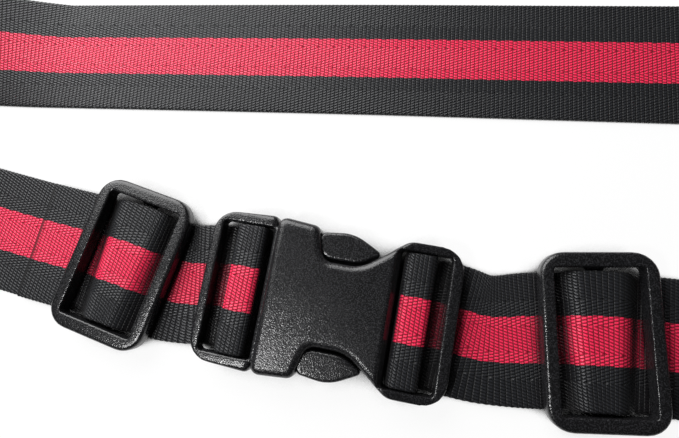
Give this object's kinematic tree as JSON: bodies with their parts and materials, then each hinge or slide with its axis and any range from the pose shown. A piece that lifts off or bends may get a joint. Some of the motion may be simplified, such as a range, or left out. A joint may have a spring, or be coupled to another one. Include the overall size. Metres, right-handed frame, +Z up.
{
  "type": "gait belt",
  "caption": "Closed loop of striped woven webbing with a side-release buckle and sliding tri-glide adjusters, worn round the waist for guiding and lifting a patient.",
  "frame": {"origin": "on the table, under the middle of the closed buckle, on the socket's flat underside", "axes": "+X along the buckle from the insert to the socket, +Y from the buckle towards the back of the loop, +Z up from the table"},
  "size_m": [0.6168, 0.1885, 0.0507],
  "materials": {
    "black_plastic": "fine-grained matt moulded acetal",
    "striped_webbing": "black woven webbing with a red centre stripe"
  },
  "bodies": {
    "belt": {"female_socket": "black_plastic", "right_front_strap": "striped_webbing", "right_tail_strap": "striped_webbing", "right_loop_strap": "striped_webbing", "back_strap": "striped_webbing", "left_loop_strap": "striped_webbing"},
    "insert": {"male_insert": "black_plastic", "left_front_strap": "striped_webbing", "left_tail_strap": "striped_webbing"},
    "rear_arm": {"rear_release_arm": "black_plastic"},
    "front_arm": {"front_release_arm": "black_plastic"},
    "left_slider": {"left_tri_glide": "black_plastic"},
    "right_slider": {"right_tri_glide": "black_plastic"}
  },
  "joints": [
    {"name": "buckle_release", "type": "slide", "parent": "belt", "child": "insert", "axis": [-1, 0, 0], "range_m": [0, 0.045], "deforming": ["left_loop_strap", "rear_release_arm", "front_release_arm"]},
    {"name": "rear_arm_press", "type": "hinge", "parent": "insert", "child": "rear_arm", "pos_m": [-0.0153, 0.0223, 0.007], "axis": [0, 0, -1], "range_deg": [0, 6.5], "stiffness_Nm_per_rad": 3},
    {"name": "front_arm_press", "type": "hinge", "parent": "insert", "child": "front_arm", "pos_m": [-0.0153, -0.0223, 0.007], "axis": [0, 0, 1], "range_deg": [0, 6.5], "stiffness_Nm_per_rad": 3},
    {"name": "left_glide_slide", "type": "slide", "parent": "insert", "child": "left_slider", "axis": [-0.9905, 0.1376, 0], "range_m": [-0.01, 0.02], "deforming": ["left_front_strap", "left_tail_strap"]},
    {"name": "right_glide_slide", "type": "slide", "parent": "belt", "child": "right_slider", "axis": [0.9909, 0.1348, 0], "range_m": [-0.024, 0.02], "deforming": ["right_front_strap", "right_tail_strap"]}
  ]
}
